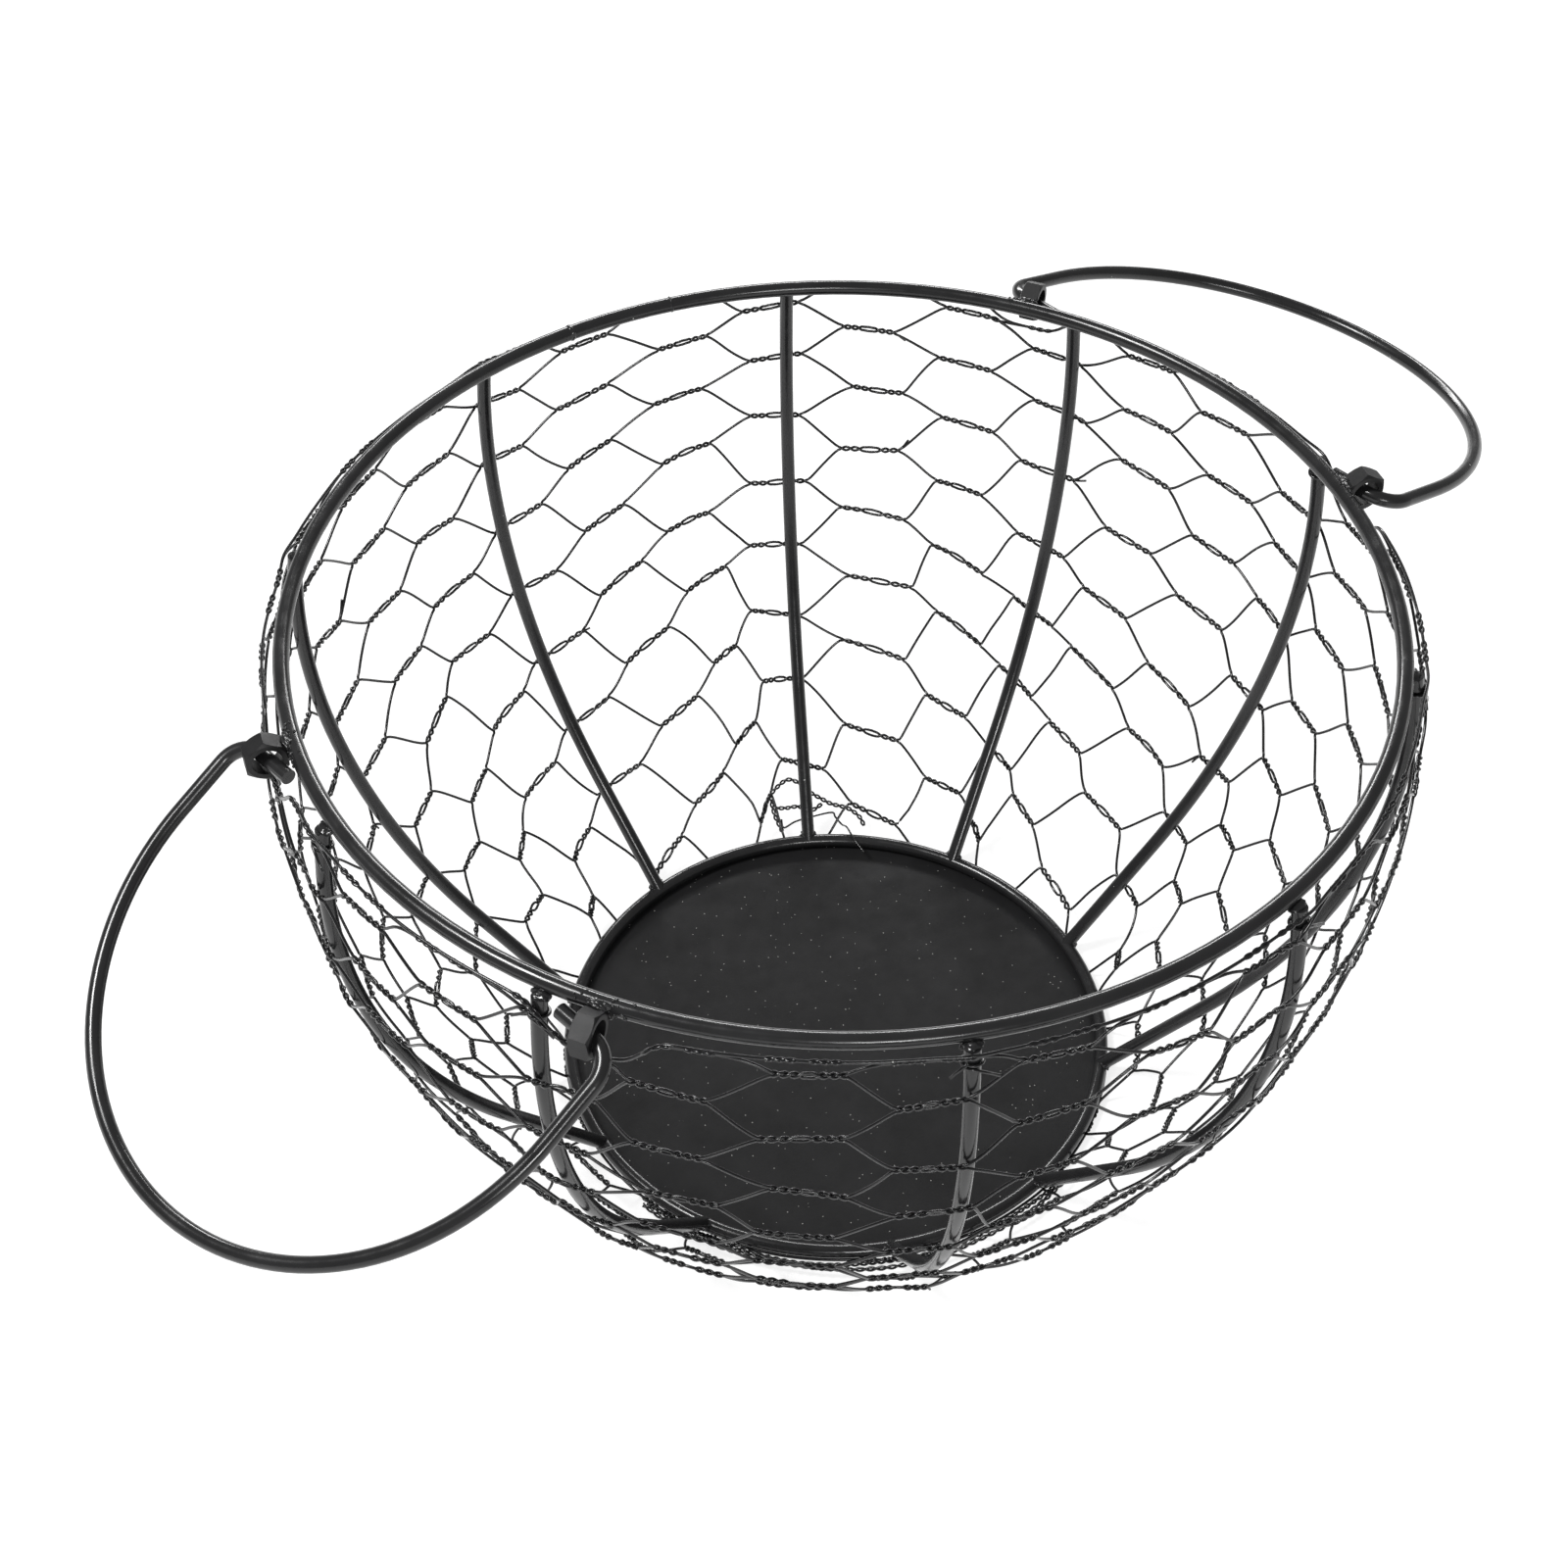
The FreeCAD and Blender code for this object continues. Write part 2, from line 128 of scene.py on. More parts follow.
def profile(run, out):
    """(reach, height) at a run down the netting, this far out from the ribs' centre line."""
    bend_run = RUN_LINE * (BEND_TOP - BEND_END)
    angle = BEND_TOP - min(run, bend_run) / RUN_LINE
    beyond = max(0.0, run - bend_run)
    reach = BEND_REACH + (RIB_BEND + out) * math.cos(angle) + beyond * math.sin(angle)
    height = BEND_HEIGHT + (RIB_BEND + out) * math.sin(angle) - beyond * math.cos(angle)
    return reach, height


def around(azimuth, reach, height):
    """The point at an azimuth."""
    turn = math.radians(azimuth)
    return Vector((reach * math.cos(turn), reach * math.sin(turn), height))


def on_netting(azimuth, run, out):
    """The point at an azimuth and a run, this far out from the ribs' centre line."""
    reach, height = profile(run, out)
    return around(azimuth, reach, height)


def directions(azimuth):
    """Unit vectors outwards, sideways and up at an azimuth."""
    return around(azimuth, 1, 0), around(azimuth + 90, 1, 0), Vector((0, 0, 1))


def rib_nearness(azimuth, reach):
    """1 on a rib, falling almost to 0 a centimetre away from it."""
    gap = min(abs(signed(azimuth - rib)) for rib in RIB_AZIMUTHS)
    distance = math.radians(gap) * reach
    return math.exp(-(distance / (6 * MM)) ** 2)


def frontness(azimuth):
    """1 at the middle of the front, 0 at the rear."""
    return 0.5 + 0.5 * math.cos(math.radians(azimuth - FRONT))


# ---------------------------------------------------------------- the netting's surface

def warp(azimuth, run):
    """How far hand stretching has pulled the netting from even: (degrees round, metres down).

    Towards its foot it is drawn round in eight waves, and it wanders more the lower it is. The wandering
    fades out at both edges.
    """
    depth = run / (200 * MM)
    gather = 4.0 * depth ** 2 * (math.sin(math.radians(8 * azimuth + 22)) - 1)
    place = on_netting(azimuth, run, 0)
    wander = noise.noise_vector(place * 22 + Vector((3.1, 7.7, 1.9)))
    fine = noise.noise_vector(place * 60 + Vector((9.2, 4.4, 6.1)))
    fade = min(1.0, run / (30 * MM)) * (1 - max(0.0, (depth - 0.93) / 0.07))
    across = (2.2 + 3.6 * depth) * MM * wander.x + 1.0 * MM * fine.x
    down = (2.4 + 4.6 * depth) * MM * wander.y + 1.0 * MM * fine.y
    reach = profile(run, 0)[0]
    return gather + math.degrees(across / reach) * fade, down * fade


def kept_clear(azimuth, run):
    """The run, eased so that the top edge stays under the rim and dips below each hinge nut, and cut off at
    the base ring."""
    aside = min(abs(abs(signed(azimuth + half_turn)) - NUT_AZIMUTH) for half_turn in (0, 180))
    highest = TOP_RUN + NUT_DIP * math.exp(-(aside / NUT_DIP_WIDTH) ** 4)
    if run < highest + EDGE_EASE:
        run = highest + EDGE_EASE * math.exp((run - highest) / EDGE_EASE - 1)
    return min(run, FOOT_RUN)


def belly(azimuth, run):
    """How far the netting hangs out from the ribs, low at the front."""
    if run < BELLY_TOP:
        return 0.0
    share = min(1.0, (run - BELLY_TOP) / BELLY_DEPTH)
    return BELLY * frontness(azimuth) * math.sin(math.pi * share) ** 2


def netting_place(azimuth, run, lift):
    """A point of a wire after stretching, at a lift outwards from the middle of the netting's thickness."""
    turn, down = warp(azimuth, run)
    azimuth += turn
    run = kept_clear(azimuth, run + down)
    reach = profile(run, 0)[0]
    slack = 0.5 + 0.5 * noise.noise(on_netting(azimuth, run, 0) * 30 + Vector((5.0, 2.0, 8.0)))
    out = RIB_RADIUS + 2 * WIRE + CLEARANCE - (1 - rib_nearness(azimuth, reach)) * slack * SLACK
    place = on_netting(azimuth, run, out + lift + belly(azimuth, run))
    tucked = around(azimuth, TUCK_REACH + lift, TUCK_HEIGHT)
    share = max(0.0, (run - TUCK_RUN) / (FOOT_RUN - TUCK_RUN)) ** 2
    return place.lerp(tucked, share * min(1.0, 6 * (1 - frontness(azimuth))))


def level(row, azimuth):
    """The run of a row of twists: rows lie further apart where the netting is narrower, and the netting was
    put on a little askew, so it sits higher at the front than at the rear."""
    run = (12.0 + 10.2 * row + 0.11 * row ** 2) * MM
    askew = ASKEW * (1 + math.cos(math.radians(azimuth - HIGH_SIDE)))
    return run - askew * max(0.0, 1 - (run / NET_DEPTH) ** 2)


# ---------------------------------------------------------------- lines and meshes

def hermite(a, b, slope_a, slope_b, t):
    """Cubic from a to b with the given end slopes."""
    return ((2 * t ** 3 - 3 * t ** 2 + 1) * a + (t ** 3 - 2 * t ** 2 + t) * slope_a
            + (3 * t ** 2 - 2 * t ** 3) * b + (t ** 3 - t ** 2) * slope_b)


def smooth_line(points, steps):
    """A smooth line through points, with this many steps from each to the next."""
    line = []
    padded = [2 * points[0] - points[1], *points, 2 * points[-1] - points[-2]]
    for index in range(1, len(padded) - 2):
        before, here, there, after = padded[index - 1:index + 3]
        for step in range(steps):
            line.append(hermite(here, there, (there - before) / 2, (after - here) / 2, step / steps))
    line.append(points[-1].copy())
    return line


def wound_pair(line, pitch, spread):
    """Two wires wound round a line, one turn in each pitch of its length."""
    pair = ([], [])
    travelled = 0.0
    side = None
    for index, point in enumerate(line):
        ahead = line[min(index + 1, len(line) - 1)]
        behind = line[max(index - 1, 0)]
        along = (ahead - behind).normalized()
        side = along.orthogonal() if side is None else side
        side = (side - along * side.dot(along)).normalized()
        up = along.cross(side)
        turn = 2 * math.pi * travelled / pitch
        offset = spread * (math.cos(turn) * side + math.sin(turn) * up)
        pair[0].append(point + offset)
        pair[1].append(point - offset)
        travelled += (ahead - point).length
    return pair


def tube(path, radius, sides=WIRE_SIDES, closed=False):
    """(vertices, faces) of a round wire along a path, with the section carried along without twisting."""
    count = len(path)
    vertices = []
    faces = []
    previous = None
    for index, point in enumerate(path):
        if closed:
            ahead = path[(index + 1) % count]
            behind = path[index - 1]
        else:
            ahead = path[min(index + 1, count - 1)]
            behind = path[max(index - 1, 0)]
        along = (ahead - behind).normalized()
        side = previous if previous is not None else along.orthogonal()
        side = (side - along * side.dot(along)).normalized()
        previous = side
        up = along.cross(side)
        for step in range(sides):
            turn = 2 * math.pi * step / sides
            vertices.append(point + radius * (math.cos(turn) * side + math.sin(turn) * up))
    for ring in range(count if closed else count - 1):
        nearer = ring * sides
        further = ((ring + 1) % count) * sides
        for step in range(sides):
            beside = (step + 1) % sides
            faces.append((nearer + step, nearer + beside, further + beside, further + step))
    if not closed:
        faces.append(tuple(reversed(range(sides))))
        faces.append(tuple(range((count - 1) * sides, count * sides)))
    return vertices, faces


def lump(centre, across, deep, tall, seed, wobble):
    """(vertices, faces) of a lumpy bead of weld metal with the given half sizes as vectors."""
    ball = bmesh.new()
    bmesh.ops.create_icosphere(ball, subdivisions=4, radius=1)
    vertices = []
    for vertex in ball.verts:
        swell = 1 + wobble * noise.noise(vertex.co * 1.9 + Vector((seed, 2.0 * seed, 0.5)))
        swell += 0.35 * wobble * noise.noise(vertex.co * 5.1 + Vector((seed, 1.0, seed)))
        place = vertex.co * swell
        vertices.append(centre + across * place.x + deep * place.y + tall * place.z)
    faces = [tuple(v.index for v in face.verts) for face in ball.faces]
    ball.free()
    return vertices, faces


def mesh_piece(name, parts, material):
    """One object from several (vertices, faces) lists, riding on the basket."""
    vertices = []
    faces = []
    for part_vertices, part_faces in parts:
        start = len(vertices)
        vertices.extend(part_vertices)
        faces.extend(tuple(start + corner for corner in face) for face in part_faces)
    mesh = bpy.data.meshes.new(name)
    mesh.from_pydata([tuple(v) for v in vertices], [], faces)
    mesh.validate()
    working = bmesh.new()
    working.from_mesh(mesh)
    bmesh.ops.recalc_face_normals(working, faces=working.faces)
    working.to_mesh(mesh)
    working.free()
    for polygon in mesh.polygons:
        polygon.use_smooth = True
    piece = bpy.data.objects.new(name, mesh)
    bpy.context.scene.collection.objects.link(piece)
    piece.data.materials.append(material)
    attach(piece, "basket")
    return piece


# ---------------------------------------------------------------- materials

class Nodes:
    """Short calls for building one node material. A value that comes from a node is a (node, output) pair."""

    # Sockets of a Mix node that mixes colours.
    MIX_FIRST, MIX_SECOND, MIX_RESULT = 6, 7, 2

    def __init__(self, name):
        self.material = bpy.data.materials.new(name)
        self.material.use_nodes = True
        self.tree = self.material.node_tree
        self.tree.nodes.clear()
        self.out = self.tree.nodes.new("ShaderNodeOutputMaterial")
        self.shader = self.tree.nodes.new("ShaderNodeBsdfPrincipled")
        self.link((self.shader, "BSDF"), self.out, "Surface")
        self.place = self.tree.nodes.new("ShaderNodeTexCoord")

    def link(self, source, target, socket):
        node, output = source
        self.tree.links.new(node.outputs[output], target.inputs[socket])

    def noise(self, scale, detail):
        node = self.tree.nodes.new("ShaderNodeTexNoise")
        node.inputs["Scale"].default_value = scale
        node.inputs["Detail"].default_value = detail
        node.inputs["Roughness"].default_value = 0.55
        self.link((self.place, "Object"), node, "Vector")
        return node, "Fac"

    def cells(self, scale):
        node = self.tree.nodes.new("ShaderNodeTexVoronoi")
        node.inputs["Scale"].default_value = scale
        self.link((self.place, "Object"), node, "Vector")
        return node

    def ramp(self, source, low, high):
        """A colour ramp between two (position, tone) stops; a tone is a grey or a colour."""
        node = self.tree.nodes.new("ShaderNodeValToRGB")
        for element, (position, tone) in zip(node.color_ramp.elements, (low, high)):
            element.position = position
            element.color = (*tone, 1.0) if isinstance(tone, tuple) else (tone, tone, tone, 1.0)
        self.link(source, node, "Fac")
        return node, "Color"

    def math(self, operation, first, second):
        node = self.tree.nodes.new("ShaderNodeMath")
        node.operation = operation
        for index, value in enumerate((first, second)):
            if isinstance(value, tuple):
                self.link(value, node, index)
            else:
                node.inputs[index].default_value = value
        return node, "Value"

    def mix(self, factor, first, second):
        """From the first colour, which comes from a node, to the second, which is plain."""
        node = self.tree.nodes.new("ShaderNodeMix")
        node.data_type = "RGBA"
        self.link(factor, node, "Factor")
        self.link(first, node, self.MIX_FIRST)
        node.inputs[self.MIX_SECOND].default_value = (*second, 1.0)
        return node, self.MIX_RESULT

    def bump(self, height, strength, distance, below=None):
        node = self.tree.nodes.new("ShaderNodeBump")
        node.inputs["Strength"].default_value = strength
        node.inputs["Distance"].default_value = distance
        self.link(height, node, "Height")
        if below is not None:
            self.link(below, node, "Normal")
        return node, "Normal"


def coating(name, tone, roughness, specular, grain, specks):
    """Black powder coat: a soft tone variation, an orange-peel grain given as (scale, depth), and pale dust
    specks given as (scale, size, share of the places that have one)."""
    n = Nodes(name)
    colour = (tone, tone, tone + 0.0005)
    faint = tuple(0.7 * c for c in colour)
    strong = tuple(1.35 * c for c in colour)
    base = n.ramp(n.noise(35, 4), (0.3, faint), (0.7, strong))

    speck_scale, speck_size, speck_share = specks
    cells = n.cells(speck_scale)
    near = n.math("LESS_THAN", (cells, "Distance"), speck_size)
    parted = n.tree.nodes.new("ShaderNodeSeparateColor")
    n.link((cells, "Color"), parted, "Color")
    chosen = n.math("LESS_THAN", (parted, "Red"), speck_share)
    dusty = n.mix(n.math("MULTIPLY", near, chosen), base, (0.42, 0.42, 0.40))
    n.link(dusty, n.shader, "Base Color")

    rough = n.ramp(n.noise(160, 5), (0.25, roughness - 0.08), (0.75, roughness + 0.1))
    n.link(rough, n.shader, "Roughness")

    grain_scale, grain_depth = grain
    coarse = n.bump(n.noise(grain_scale / 4, 2), 0.35, grain_depth * 2)
    fine = n.bump(n.noise(grain_scale, 2), 0.5, grain_depth, coarse)
    n.link(fine, n.shader, "Normal")
    n.shader.inputs["Specular IOR Level"].default_value = specular
    return n.material


ROD_COAT = coating("rod_coat", 0.013, roughness=0.2, specular=0.5,
                   grain=(2600, 0.01 * MM), specks=(170, 0.045, 0.2))
BAIL_COAT = coating("bail_coat", 0.013, roughness=0.2, specular=0.5,
                    grain=(2400, 0.01 * MM), specks=(170, 0.045, 0.2))
PLATE_COAT = coating("plate_coat", 0.011, roughness=0.55, specular=0.15,
                     grain=(1800, 0.04 * MM), specks=(460, 0.07, 0.6))
NUT_COAT = coating("nut_coat", 0.006, roughness=0.42, specular=0.35,
                   grain=(2200, 0.02 * MM), specks=(240, 0.05, 0.2))
WELD_COAT = coating("weld_coat", 0.013, roughness=0.24, specular=0.5,
                    grain=(900, 0.08 * MM), specks=(240, 0.05, 0.2))
WIRE_COAT = coating("wire_coat", 0.005, roughness=0.2, specular=0.6,
                    grain=(3000, 0.01 * MM), specks=(300, 0.06, 0.08))


def coat_cad():
    """The CAD nodes that stay in sight get their coatings."""
    for name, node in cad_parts.items():
        if name == "bottom_plate":
            material = PLATE_COAT
        elif name.startswith("bail_"):
            material = BAIL_COAT
        elif name.startswith("hinge_nut_"):
            material = NUT_COAT
        else:
            material = ROD_COAT
        for slot in node.material_slots:
            slot.material = material


# ---------------------------------------------------------------- netting

def make_lattice():
    """Every twist before stretching: (column, row) to (azimuth, run, half its length in degrees, tilt).

    The tilt is how far the twist's end lies below its middle. Low on the netting the twists slope down away
    from the rib where the wire ends are knotted.
    """
    rng = random.Random(7)
    lattice = {}
    for row in range(FIRST_ROW, LAST_ROW + 1):
        for column in range(COLUMNS):
            if (column + row) % 2 == 0:
                continue
            azimuth = FIRST_COLUMN + COLUMN_PITCH * column + rng.uniform(-0.7, 0.7)
            run = level(row, azimuth) + rng.uniform(-1.0, 1.0) * MM
            reach = profile(run, 0)[0]
            pitch = math.radians(COLUMN_PITCH) * reach
            length = min(TWIST_LENGTH, TWIST_SHARE * pitch) * rng.uniform(0.93, 1.07)
            half = math.degrees(length / 2 / reach)
            from_knot = signed(azimuth - KNOT_RIB)
            slope = from_knot / 30 * math.exp(-(from_knot / 40) ** 2) * (max(run, 0.0) / NET_DEPTH) ** 1.3
            tilt = slope * length / 2 + rng.uniform(-1.1, 1.1) * MM
            lattice[column, row] = (azimuth, run, half, tilt)
    return lattice


def twist_angle(t):
    """How far a wire has wound round its neighbour: tight at first, a long open eye, and wound back again."""
    full = 1.5 * 2 * math.pi
    tight = 0.5 - 0.085
    return full * min(1.0, t / tight, (1 - t) / tight)


def wound_offset(wound, t):
    """How far a wire in a twist is from the twist's middle line: (down the netting, away from the ribs)."""
    eye = math.exp(-((t - 0.5) / 0.09) ** 2)
    return -math.sin(wound) * WIRE * (1.24 + 0.5 * eye), math.cos(wound) * WIRE * 1.05


def twist_points(twist, above):
    """One wire's way through a twist, which it enters and leaves above or below its neighbour."""
    azimuth, run, half, tilt = twist
    start = math.pi / 2 if above else -math.pi / 2
    points = []
    for step in range(TWIST_STEPS + 1):
        t = step / TWIST_STEPS
        down, lift = wound_offset(start + twist_angle(t), t)
        along = 2 * t - 1
        points.append(netting_place(azimuth + half * along, run + down + tilt * along, lift))
    return points


def crossings(stations):
    """For each (twist, above) along a wire: both, then the start and end of the stretch to the next twist."""
    for index, (twist, above) in enumerate(stations):
        following, follows_above = stations[(index + 1) % len(stations)]
        lap = 360 if index + 1 == len(stations) else 0
        azimuth, run, half, tilt = twist
        next_azimuth, next_run, next_half, next_tilt = following
        side = -WIRE if above else WIRE
        next_side = -WIRE if follows_above else WIRE
        here = (azimuth + half, run + tilt + side)
        there = (next_azimuth + lap - next_half, next_run - next_tilt + next_side)
        yield twist, above, here, there


def wire_path(row, lattice):
    """One wire, all the way round: it winds with the wire above it, then with the wire below, and so on."""
    stations = []
    for column in range(COLUMNS):
        for twist_row in (row - 1, row):
            if (column, twist_row) in lattice:
                stations.append((lattice[column, twist_row], twist_row == row))
    points = []
    for twist, above, here, there in crossings(stations):
        points.extend(twist_points(twist, above))
        gap = there[0] - here[0]
        fall = there[1] - here[1]
        for step in range(1, SPAN_STEPS):
            t = step / SPAN_STEPS
            across = hermite(here[0], there[0], 0.75 * gap, 0.75 * gap, t)
            down = hermite(here[1], there[1], 0.55 * fall, 0.55 * fall, t)
            points.append(netting_place(across, down, 0.0))
    return points


def edge_path(row, lattice):
    """The netting's first or last wire, which winds with its one neighbour and bows between the twists."""
    top = row == FIRST_ROW
    bow = (-1.6 if top else 1.2) * MM
    stations = [(lattice[place], top) for place in sorted(lattice) if place[1] == row]
    points = []
    for twist, above, here, there in crossings(stations):
        points.extend(twist_points(twist, above))
        for step in range(1, EDGE_STEPS):
            t = step / EDGE_STEPS
            across = here[0] + (there[0] - here[0]) * t
            down = here[1] + (there[1] - here[1]) * t + bow * math.sin(math.pi * t) ** 0.8
            points.append(netting_place(across, down, 0.0))
    return points


def foot_bundle():
    """Loose strands turned round the outside of the base ring, where the netting's cut ends are gathered."""
    rng = random.Random(21)
    parts = []
    for reach, height, rise, pitch in ((86.9, 1.2, 1.0, 5.2), (87.6, 1.3, 2.6, 6.4)):
        points = []
        for azimuth in range(-174, -78, 6):
            wander = noise.noise_vector(around(azimuth, 1, reach) * 2.6)
            front = frontness(azimuth)
            points.append(around(azimuth + rng.uniform(-1, 1),
                                 (reach + front * (rise + 1.4 * wander.x)) * MM,
                                 (height + front * (rise + 1.2 * wander.y)) * MM))
        for strand in wound_pair(smooth_line(points, 16), pitch * MM, WIRE):
            parts.append(tube(strand, WIRE * 0.85, 6))
    return parts


def make_netting(lattice):
    """Hexagonal netting: closed wires wound pairwise, with a wire of its own along each edge."""
    rows = [tube(wire_path(row, lattice), WIRE, closed=True) for row in range(FIRST_ROW + 1, LAST_ROW + 1)]
    netting = mesh_piece("wire_netting", rows, WIRE_COAT)
    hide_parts("netting")
    top = tube(edge_path(FIRST_ROW, lattice), WIRE, closed=True)
    selvedge = mesh_piece("wire_top_selvedge", [top], WIRE_COAT)
    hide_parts("netting_top_selvedge")
    foot = tube(edge_path(LAST_ROW, lattice), WIRE, closed=True)
    bundle = mesh_piece("wire_foot_bundle", [foot, *foot_bundle()], WIRE_COAT)
    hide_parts("netting_foot_wire")


def make_neck_ties():
    """Netting wire wound just over once round each tied rib under its head, with its two ends led off."""
    rng = random.Random(5)
    loop = RIB_RADIUS + WIRE + 0.03 * MM
    end_out = RIB_RADIUS + WIRE + 0.4 * MM
    end_aside = 2.2
    neck_reach = 155 * MM
    turns = 1.1
    steps = 40
    parts = []
    for azimuth in TIED_RIBS:
        run = rng.uniform(6.4, 7.4) * MM
        start = math.radians(rng.uniform(-20, 20) - 40)
        path = [on_netting(azimuth - end_aside, run + 2.0 * MM, end_out)]
        for step in range(steps + 1):
            t = step / steps
            turn = start + turns * 2 * math.pi * t
            path.append(on_netting(azimuth + math.degrees(loop * math.sin(turn) / neck_reach),
                                   run + (1.3 * t - 0.6) * MM, loop * math.cos(turn)))
        path.append(on_netting(azimuth + end_aside, run + 3.5 * MM, end_out))
        parts.append(tube(path, WIRE))
    ties = mesh_piece("wire_neck_ties", parts, WIRE_COAT)
    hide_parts("rib_neck_ties")


def make_end_knot():
    """The tangle of twisted wire ends low at the rear, round the first rib's foot: a loop and a strand across
    it, each of two wires, and a single wire whose end is led over the plate."""
    proud = RIB_RADIUS + 1.6 * MM

    def places(rows):
        """Points on the netting from (azimuth, run, lift) in degrees and millimetres."""
        return [on_netting(azimuth, run * MM, proud + lift * MM) for azimuth, run, lift in rows]

    loop = places([(57.5, 198, 0), (58.6, 192, 0.4), (58.7, 186, 0.8), (57.6, 183.5, 1), (55, 181, 1.2),
                   (52.6, 183, 1.6), (50.8, 186, 1.6), (48.4, 188.5, 1.2), (46.7, 190, 0.8),
                   (43.2, 191.5, 0.6), (40.8, 194, 0.4), (39.6, 197, 0.2)])
    across = places([(58.4, 190, 0), (56, 190.5, 0.6), (53.5, 190.5, 1.4), (50.8, 192, 1.0),
                     (48.6, 190, 0.4)])
    single = places([(57.3, 194, 0.2), (57, 197, 0.2), (54.4, 195.5, 1.0), (51.4, 194.5, 1.2),
                     (46.7, 193, 0.8), (45.8, 194.5, 0.3), (44.4, 197, 0.2)])
    for azimuth, reach, height in ((43.2, 86.4, 6.6), (41.4, 81, 6.8), (38.6, 76.5, 5.4)):
        single.append(around(azimuth, reach * MM, height * MM))
    parts = []
    for line in (loop, across):
        for strand in wound_pair(smooth_line(line, 14), 4.6 * MM, WIRE * 1.1):
            parts.append(tube(strand, WIRE * 0.8))
    parts.append(tube(smooth_line(single, 10), WIRE * 0.75))
    knot = mesh_piece("wire_end_knot", parts, WIRE_COAT)
    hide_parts("netting_end_knot")


def make_stray_ends(lattice):
    """Short cut ends that stand off the netting at the ends of some twists."""
    rng = random.Random(12)
    twists = sorted(place for place in lattice if FIRST_ROW < place[1] < LAST_ROW)
    parts = []
    for place in rng.sample(twists, 22):
        azimuth, run, half, tilt = lattice[place]
        way = rng.choice((-1, 1))
        azimuth += way * half * 0.9
        run += way * tilt * 0.9
        turn = way * rng.uniform(0.5, 1.8)
        down = rng.uniform(-4.2, 4.2) * MM
        lift = rng.uniform(0.3, 1.6) * MM
        line = [netting_place(azimuth, run, 0.4 * WIRE),
                netting_place(azimuth + 0.5 * turn, run + 0.4 * down, 0.4 * lift),
                netting_place(azimuth + turn, run + down, lift)]
        parts.append(tube(smooth_line(line, 8), WIRE * 0.85))
    mesh_piece("wire_stray_ends", parts, WIRE_COAT)


# ---------------------------------------------------------------- welds

def make_nut_welds():
    """Weld beads between each hinge nut and the rim, and spatter on the rim round them."""
    rng = random.Random(9)
    beads = ((1.7, 1.3, 1.3, 182.3), (1.9, -2.2, 1.5, 178.8))
    parts = []
    for number, azimuth in enumerate((NUT_AZIMUTH, -NUT_AZIMUTH, 180 - NUT_AZIMUTH, 180 + NUT_AZIMUTH)):
        outward, aside, up = directions(azimuth)
        for out, rise, tall, seed in beads:
            parts.append(lump(around(azimuth, RIM_RADIUS + out * MM, RIM_HEIGHT + rise * MM),
                              aside * 3.1 * MM, outward * 1.6 * MM, up * tall * MM, number + seed, 0.35))
        for _ in range(26):
            turn = rng.uniform(-0.6, 1.9)
            away = azimuth + math.degrees(rng.gauss(0, 4.5) * MM / RIM_RADIUS)
            spot = around(away, RIM_RADIUS + RIM_ROD * math.cos(turn),
                          RIM_HEIGHT + RIM_ROD * math.sin(turn))
            ball = rng.uniform(0.22, 0.5) * MM
            parts.append(lump(spot, outward * ball, aside * ball, up * ball, number + turn, 0.2))
    welds = mesh_piece("nut_weld_beads", parts, WELD_COAT)
    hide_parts("hinge_nut_welds")


def make_rib_welds():
    """Weld beads under the rim at every rib's head, and on the base ring at every rib's foot."""
    heads = []
    feet = []
    for number, azimuth in enumerate(RIB_AZIMUTHS):
        outward, aside, up = directions(azimuth)
        heads.append(lump(around(azimuth, RIM_RADIUS + 2.2 * MM, RIM_HEIGHT - 2.0 * MM),
                          aside * 2.7 * MM, outward * 2.2 * MM, up * 1.0 * MM, number + 0.3, 0.25))
        feet.append(lump(around(azimuth, RING_RADIUS + 1.5 * MM, RING_HEIGHT + 1.3 * MM),
                         aside * 2.7 * MM, outward * 1.8 * MM, up * 1.7 * MM, number + 7.7, 0.35))
    mesh_piece("rib_head_welds", heads, ROD_COAT)
    mesh_piece("rib_foot_welds", feet, ROD_COAT)


def make_rim_weld():
    """The two low ridges of weld metal where the rim's ends are joined."""
    ridges = []
    for azimuth, proud, along in ((66.1, 0.22, 0.9), (78.8, 0.3, 1.6)):
        outward, aside, up = directions(azimuth)
        thick = RIM_ROD + proud * MM
        ridges.append(lump(around(azimuth, RIM_RADIUS, RIM_HEIGHT),
                           outward * thick, aside * along * MM, up * thick, azimuth, 0.08))
    mesh_piece("rim_butt_weld", ridges, ROD_COAT)


# ---------------------------------------------------------------- stage, lights, camera

def look(location, target):
    """Unit vectors forward, right and up for something at location that faces target."""
    forward = (target - location).normalized()
    right = forward.cross(Vector((0, 0, 1))).normalized()
    up = right.cross(forward)
    return forward, right, up


def faced(location, forward, right, up):
    """The matrix of a light or camera, which looks along its own -Z with +Y up."""
    return Matrix.Translation(location) @ Matrix((right, up, -forward)).transposed().to_4x4()


def area_light(name, location, width, height, power):
    """A rectangular soft box that faces the basket's middle."""
    light = bpy.data.lights.new(name, "AREA")
    light.shape = "RECTANGLE"
    light.size = width
    light.size_y = height
    light.energy = power
    box = bpy.data.objects.new(name, light)
    bpy.context.scene.collection.objects.link(box)
    place = Vector(location)
    box.matrix_world = faced(place, *look(place, Vector((0, 0, 0.1))))


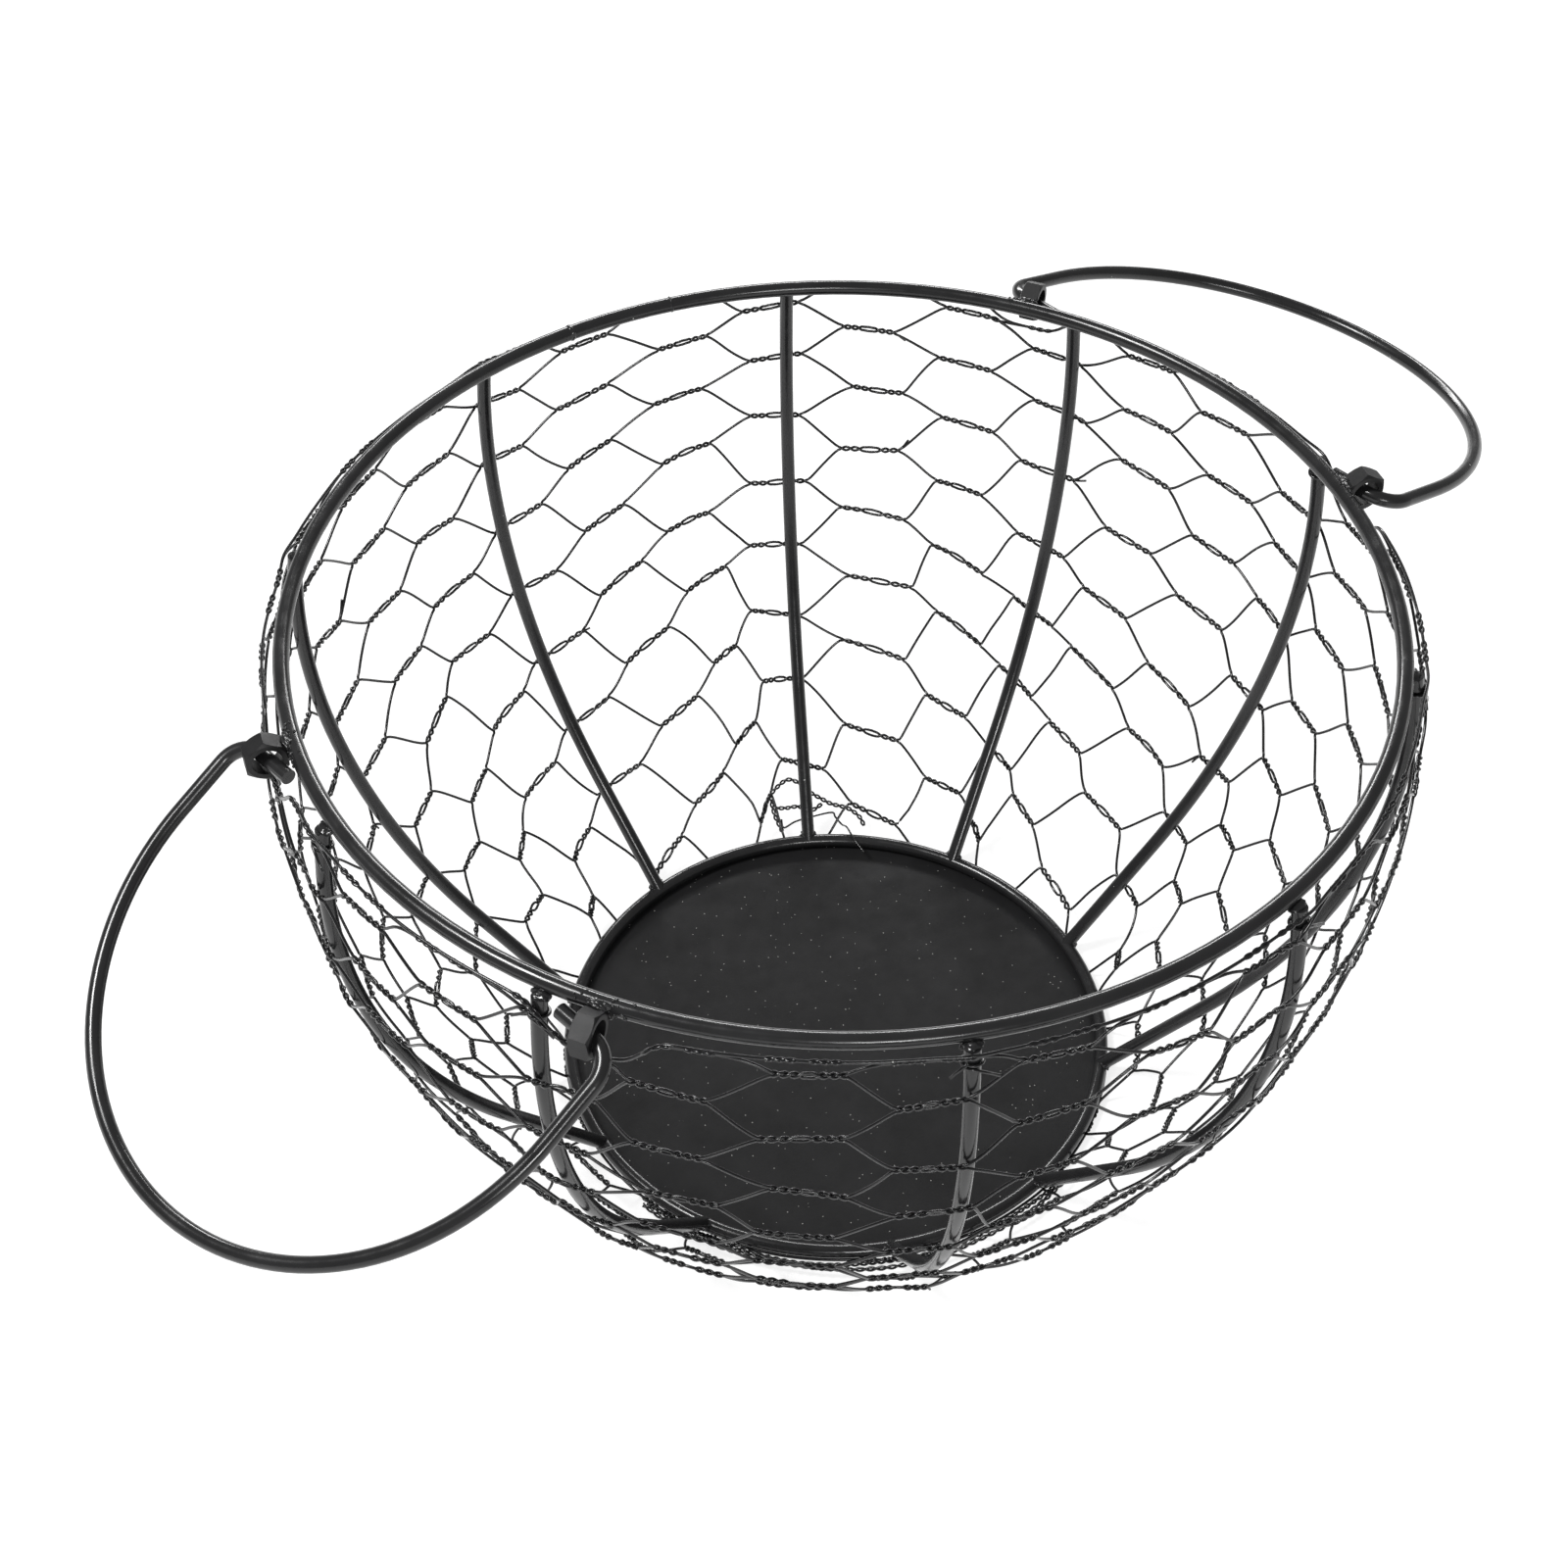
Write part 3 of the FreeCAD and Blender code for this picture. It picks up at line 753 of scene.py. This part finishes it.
def make_floor():
    """A plain pale floor that glows a little, so that it looks white under the basket."""
    far = 6.0
    mesh = bpy.data.meshes.new("floor")
    mesh.from_pydata([(-far, -far, 0), (far, -far, 0), (far, far, 0), (-far, far, 0)], [], [(0, 1, 2, 3)])
    floor = bpy.data.objects.new("floor", mesh)
    bpy.context.scene.collection.objects.link(floor)
    floor.location.z = -0.2 * MM
    n = Nodes("floor_white")
    n.link(n.ramp(n.noise(3, 2), (0.3, 0.34), (0.7, 0.36)), n.shader, "Base Color")
    n.shader.inputs["Emission Color"].default_value = (1, 1, 1, 1)
    n.shader.inputs["Emission Strength"].default_value = 0.76
    n.shader.inputs["Roughness"].default_value = 0.9
    n.shader.inputs["Specular IOR Level"].default_value = 0.1
    mesh.materials.append(n.material)


def make_lights():
    """A white surround and three soft boxes."""
    world = bpy.data.worlds.new("surround")
    bpy.context.scene.world = world
    world.use_nodes = True
    background = world.node_tree.nodes["Background"]
    background.inputs["Color"].default_value = (1, 1, 1, 1)
    background.inputs["Strength"].default_value = 0.27
    area_light("key", (-0.7, 0.5, 1.5), width=0.4, height=0.4, power=20)
    area_light("fill", (-0.9, -1.3, 0.9), width=0.5, height=0.22, power=8)
    area_light("back", (1.0, 1.1, 0.85), width=1.2, height=0.2, power=16)


def make_camera():
    """The camera, at the picture's viewing angle, tilted slightly about its line of sight."""
    location = Vector((-0.3837, -0.3850, 0.6601))
    forward, right, up = look(location, Vector((-0.0336, -0.0126, 0.1466)))
    roll = math.radians(-0.403)
    tilted_right = right * math.cos(roll) + up * math.sin(roll)
    tilted_up = tilted_right.cross(forward)
    data = bpy.data.cameras.new("camera")
    data.lens = 61.55
    data.sensor_width = 36
    data.clip_start = 0.01
    data.clip_end = 50
    camera = bpy.data.objects.new("camera", data)
    bpy.context.scene.collection.objects.link(camera)
    camera.matrix_world = faced(location, forward, tilted_right, tilted_up)
    bpy.context.scene.camera = camera
    bpy.context.scene.view_settings.view_transform = "Standard"


make_camera()
make_floor()
make_lights()
coat_cad()
netting_lattice = make_lattice()
make_netting(netting_lattice)
make_neck_ties()
make_end_knot()
make_stray_ends(netting_lattice)
make_nut_welds()
make_rib_welds()
make_rim_weld()
